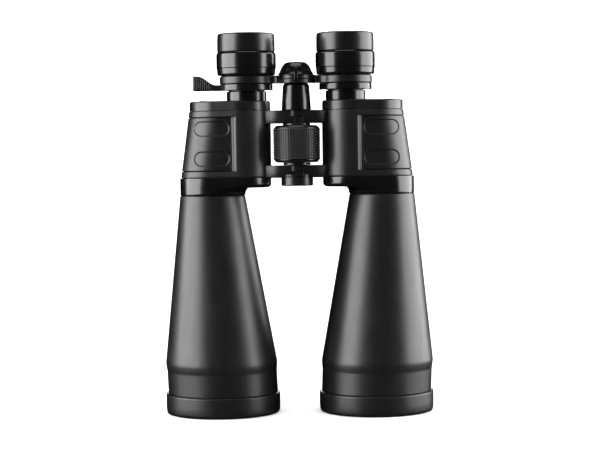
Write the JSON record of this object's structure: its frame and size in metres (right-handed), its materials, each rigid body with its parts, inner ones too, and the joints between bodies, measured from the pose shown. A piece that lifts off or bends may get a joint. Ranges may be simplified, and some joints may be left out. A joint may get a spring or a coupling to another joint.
{
  "type": "zoom binoculars",
  "caption": "Large black zoom porro-prism binoculars with long tapered barrels, centre focus wheel, zoom lever, folding hinge and pull-up eyecups.",
  "frame": {"origin": "centre of the bounding box's bottom: on the table, between the two objective rims and on the plane of both objective axes", "axes": "+Z runs from the objective rims up to the eyecups, along the optical axes; the top side with the focus wheel faces -Y, so the user's right half, with the zoom lever, lies at -X and the left half at +X"},
  "size_m": [0.1924, 0.082, 0.2708],
  "materials": {
    "armor": "satin black rubber-like coat with a fine grain",
    "grip_rubber": "matte moulded rubber with a fine pebble grain",
    "cover_black": "satin moulded plastic",
    "gloss_black": "polished black",
    "arm_black": "matte black powder coat",
    "eyecup_rubber": "smooth semi-gloss rubber",
    "knob_rubber": "studded rubber",
    "lever_black": "ribbed plastic",
    "dark_metal": "black anodised",
    "steel": "plain turned steel",
    "coated_glass": "anti-reflection coated",
    "prism_glass": "clear polished"
  },
  "bodies": {
    "right_half": {"right_objective_rim": "armor", "right_objective_lens": "coated_glass", "right_lens_retainer": "dark_metal", "right_barrel": "armor", "right_neck_collar": "gloss_black", "right_prism_housing": "armor", "right_grip_panel": "grip_rubber", "right_top_cover": "cover_black", "right_cover_screws": "steel", "right_prism_shelf": "dark_metal", "right_upper_prism": "prism_glass", "right_lower_prism": "prism_glass", "right_prism_clips": "steel", "right_upper_arm": "arm_black", "right_lower_arm": "arm_black", "right_guide_tube": "gloss_black", "hinge_axle": "steel", "tripod_cap": "cover_black", "hinge_washers": "cover_black", "axle_sleeve": "gloss_black"},
    "left_half": {"left_objective_rim": "armor", "left_objective_lens": "coated_glass", "left_lens_retainer": "dark_metal", "left_barrel": "armor", "left_neck_collar": "gloss_black", "left_prism_housing": "armor", "left_grip_panel": "grip_rubber", "left_top_cover": "cover_black", "left_cover_screws": "steel", "left_prism_shelf": "dark_metal", "left_upper_prism": "prism_glass", "left_lower_prism": "prism_glass", "left_prism_clips": "steel", "left_upper_arm": "arm_black", "left_lower_arm": "arm_black", "left_guide_tube": "gloss_black"},
    "focus_wheel": {"focus_wheel": "cover_black", "focus_grip": "knob_rubber"},
    "right_ocular": {"right_ocular_tube": "dark_metal", "right_ocular_arm": "arm_black", "right_ocular_ring": "gloss_black", "right_eye_cell": "cover_black", "right_eye_lens": "coated_glass", "focus_spindle": "steel", "ocular_hub": "gloss_black"},
    "left_ocular": {"left_ocular_tube": "dark_metal", "left_ocular_arm": "arm_black"},
    "right_zoom": {"right_zoom_ring": "gloss_black", "zoom_lever": "lever_black"},
    "left_zoom": {"left_zoom_ring": "gloss_black"},
    "right_zoom_cell": {"right_zoom_cell": "dark_metal", "right_zoom_lens": "coated_glass"},
    "left_zoom_cell": {"left_zoom_cell": "dark_metal", "left_zoom_lens": "coated_glass"},
    "left_diopter": {"left_diopter_ring": "gloss_black"},
    "left_eye_cell": {"left_eye_cell": "cover_black", "left_eye_lens": "coated_glass"},
    "right_eyecup": {"right_eyecup": "eyecup_rubber"},
    "left_eyecup": {"left_eyecup": "eyecup_rubber"}
  },
  "joints": [
    {"name": "fold", "type": "hinge", "parent": "right_half", "child": "left_half", "pos_m": [0, -0.0152, 0.1682], "axis": [0, 0, 1], "range_deg": [-18, 52]},
    {"name": "focus_turn", "type": "hinge", "parent": "right_half", "child": "focus_wheel", "pos_m": [0, -0.0152, 0.192], "axis": [0, 0, 1], "range_deg": [0, 360]},
    {"name": "right_ocular_lift", "type": "slide", "parent": "right_half", "child": "right_ocular", "axis": [0, 0, 1], "range_m": [0, 0.006]},
    {"name": "left_ocular_lift", "type": "slide", "parent": "left_half", "child": "left_ocular", "axis": [0, 0, 1], "range_m": [0, 0.006]},
    {"name": "zoom_turn", "type": "hinge", "parent": "right_ocular", "child": "right_zoom", "pos_m": [-0.03515, -0.0092, 0.232], "axis": [0, 0, 1], "range_deg": [-60, 40]},
    {"name": "left_zoom_turn", "type": "hinge", "parent": "left_ocular", "child": "left_zoom", "pos_m": [0.03515, -0.0092, 0.232], "axis": [0, 0, 1], "range_deg": [-60, 40]},
    {"name": "right_zoom_slide", "type": "slide", "parent": "right_ocular", "child": "right_zoom_cell", "axis": [0, 0, 1], "range_m": [-0.0057, 0.0038]},
    {"name": "left_zoom_slide", "type": "slide", "parent": "left_ocular", "child": "left_zoom_cell", "axis": [0, 0, 1], "range_m": [-0.0057, 0.0038]},
    {"name": "diopter_turn", "type": "hinge", "parent": "left_ocular", "child": "left_diopter", "pos_m": [0.03515, -0.0092, 0.248], "axis": [0, 0, 1], "range_deg": [-60, 60]},
    {"name": "diopter_slide", "type": "slide", "parent": "left_ocular", "child": "left_eye_cell", "axis": [0, 0, 1], "range_m": [-0.0008, 0.0008]},
    {"name": "right_eyecup_pull", "type": "slide", "parent": "right_ocular", "child": "right_eyecup", "axis": [0, 0, 1], "range_m": [0, 0.0045]},
    {"name": "left_eyecup_pull", "type": "slide", "parent": "left_ocular", "child": "left_eyecup", "axis": [0, 0, 1], "range_m": [0, 0.0045]}
  ],
  "couplings": [
    {"joint": "focus_turn", "follows": "right_ocular_lift", "rad_per_m": 1045},
    {"joint": "left_ocular_lift", "follows": "right_ocular_lift", "ratio": 1},
    {"joint": "zoom_turn", "follows": "right_zoom_slide", "rad_per_m": 183},
    {"joint": "left_zoom_turn", "follows": "right_zoom_slide", "rad_per_m": 183},
    {"joint": "left_zoom_slide", "follows": "right_zoom_slide", "ratio": 1},
    {"joint": "diopter_turn", "follows": "diopter_slide", "rad_per_m": 1308}
  ]
}
